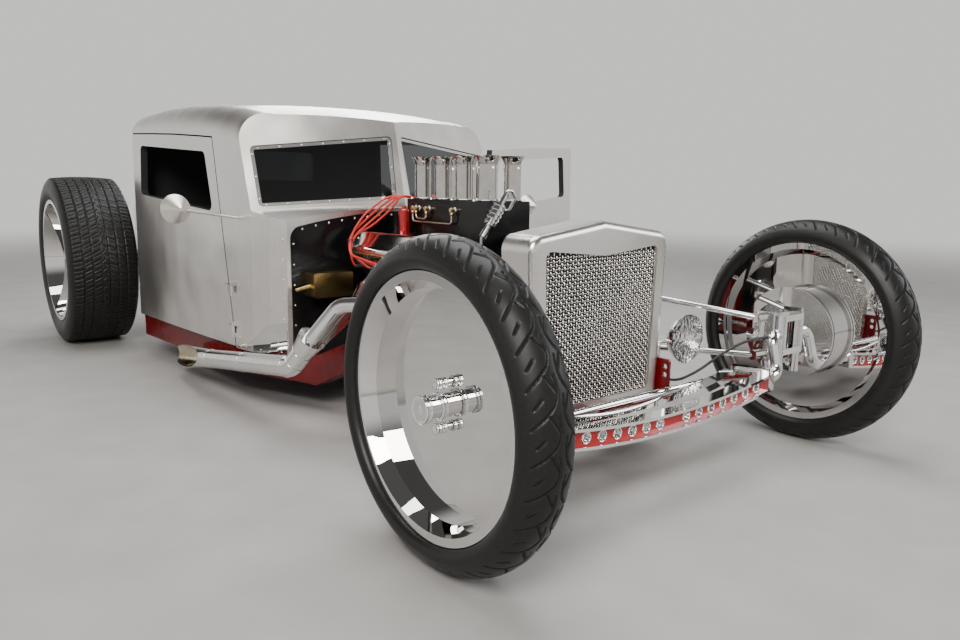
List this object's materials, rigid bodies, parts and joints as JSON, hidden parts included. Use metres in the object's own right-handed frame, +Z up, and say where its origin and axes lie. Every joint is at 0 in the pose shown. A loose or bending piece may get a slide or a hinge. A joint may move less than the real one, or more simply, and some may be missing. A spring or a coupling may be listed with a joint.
{
  "type": "street rod, closed cab, open engine",
  "caption": "Bare aluminium street rod with a closed cab, an open V8 with velocity stacks, a barred grille, a dropped front axle and wide wheels; doors, steering and wheels move.",
  "frame": {"origin": "On the ground under the car's centre line, midway between the foremost and the rearmost tyre ends.", "axes": "+Z up, nose toward -Y, the car's left toward +X."},
  "size_m": [2.5348, 3.9238, 1.1838],
  "materials": {
    "aluminium_brushed": "satin brushed bare metal",
    "aluminium_polished": "polished",
    "black_paint": "gloss",
    "brass": "polished",
    "cap_plastic": "gloss",
    "cast_block": "dark satin",
    "chrome": "polished",
    "core_black": "matte black",
    "hose_rubber": "semi matte",
    "lamp_red": "red, clear",
    "leather_black": "soft matte",
    "lens_clear": "clear",
    "machined_steel": "machined",
    "mirror_disc": "mirror polished",
    "red_gloss": "anodised gloss",
    "red_paint": "deep gloss",
    "screen_glass": "clear, thin",
    "tyre_rubber": "matte",
    "wire_red": "smooth silicone"
  },
  "bodies": {
    "chassis": {"axle_web": "red_paint", "brake_hoses": "hose_rubber", "cab_shell": "aluminium_brushed", "coil_overs": "chrome", "cylinder_heads": "aluminium_polished", "dash": "aluminium_brushed", "distributor": "machined_steel", "distributor_cap": "cap_plastic", "door_hinges": "chrome", "driveline": "cast_block", "engine_block": "cast_block", "engine_mounts": "red_paint", "exhausts": "aluminium_polished", "firewall": "black_paint", "floor": "black_paint", "frame": "red_paint", "front_axle": "chrome", "front_links": "chrome", "front_spring": "chrome", "fuel_filter": "chrome", "fuel_lines": "brass", "grille": "chrome", "headlight_lenses": "lens_clear", "headlights": "chrome", "injector_manifold": "black_paint", "mirrors": "chrome", "plug_wires": "wire_red", "pulleys": "aluminium_polished", "radiator_core": "core_black", "radiator_hose": "hose_rubber", "radiator_shell": "aluminium_brushed", "rear_axle": "chrome", "rear_links": "chrome", "rear_window": "screen_glass", "seats": "leather_black", "steering_column": "chrome", "tail": "aluminium_brushed", "tail_lamps": "lamp_red", "valve_covers": "aluminium_polished", "velocity_stacks": "aluminium_polished", "windscreen": "screen_glass", "window_bands": "aluminium_polished", "firewall_box": "brass", "catch_can": "red_gloss"},
    "knuckle_left": {"knuckle_left": "chrome"},
    "knuckle_right": {"knuckle_right": "chrome"},
    "wheel_front_left": {"rim_front_left": "mirror_disc", "tyre_front_left": "tyre_rubber"},
    "wheel_front_right": {"rim_front_right": "mirror_disc", "tyre_front_right": "tyre_rubber"},
    "wheel_rear_left": {"rim_rear_left": "mirror_disc", "tyre_rear_left": "tyre_rubber"},
    "wheel_rear_right": {"rim_rear_right": "mirror_disc", "tyre_rear_right": "tyre_rubber"},
    "tie_rod": {"tie_rod": "chrome"},
    "door_left": {"door_left": "aluminium_brushed"},
    "door_right": {"door_right": "aluminium_brushed"},
    "steering_wheel": {"steering_wheel": "aluminium_polished"}
  },
  "joints": [
    {"name": "steer_left", "type": "hinge", "parent": "chassis", "child": "knuckle_left", "pos_m": [0.6, -1.592, 0.37], "axis": [0, 0, 1], "range_deg": [-20, 20]},
    {"name": "steer_right", "type": "hinge", "parent": "chassis", "child": "knuckle_right", "pos_m": [-0.6, -1.592, 0.37], "axis": [0, 0, 1], "range_deg": [-20, 20]},
    {"name": "tie_rod_slide", "type": "slide", "parent": "chassis", "child": "tie_rod", "axis": [1, 0, 0], "range_m": [-0.043, 0.043]},
    {"name": "steering_wheel_turn", "type": "hinge", "parent": "chassis", "child": "steering_wheel", "pos_m": [0.3, 0.15, 0.625], "axis": [0, 0.9363, 0.3511], "range_deg": [-201, 201]},
    {"name": "spin_front_left", "type": "hinge", "parent": "knuckle_left", "child": "wheel_front_left", "pos_m": [0.749, -1.592, 0.37], "axis": [1, 0, 0], "continuous": true},
    {"name": "spin_front_right", "type": "hinge", "parent": "knuckle_right", "child": "wheel_front_right", "pos_m": [-0.749, -1.592, 0.37], "axis": [1, 0, 0], "continuous": true},
    {"name": "spin_rear_left", "type": "hinge", "parent": "chassis", "child": "wheel_rear_left", "pos_m": [0.813, 1.535, 0.427], "axis": [1, 0, 0], "continuous": true},
    {"name": "spin_rear_right", "type": "hinge", "parent": "chassis", "child": "wheel_rear_right", "pos_m": [-0.813, 1.535, 0.427], "axis": [1, 0, 0], "continuous": true},
    {"name": "door_left_hinge", "type": "hinge", "parent": "chassis", "child": "door_left", "pos_m": [0.61, 0.01, 0.4], "axis": [0, 0, 1], "range_deg": [0, 67]},
    {"name": "door_right_hinge", "type": "hinge", "parent": "chassis", "child": "door_right", "pos_m": [-0.61, 0.01, 0.4], "axis": [0, 0, 1], "range_deg": [0, 67]}
  ],
  "couplings": [
    {"joint": "steer_right", "follows": "steer_left", "ratio": 1},
    {"joint": "tie_rod_slide", "follows": "steer_left", "m_per_rad": -0.12},
    {"joint": "steering_wheel_turn", "follows": "steer_left", "ratio": 10}
  ]
}
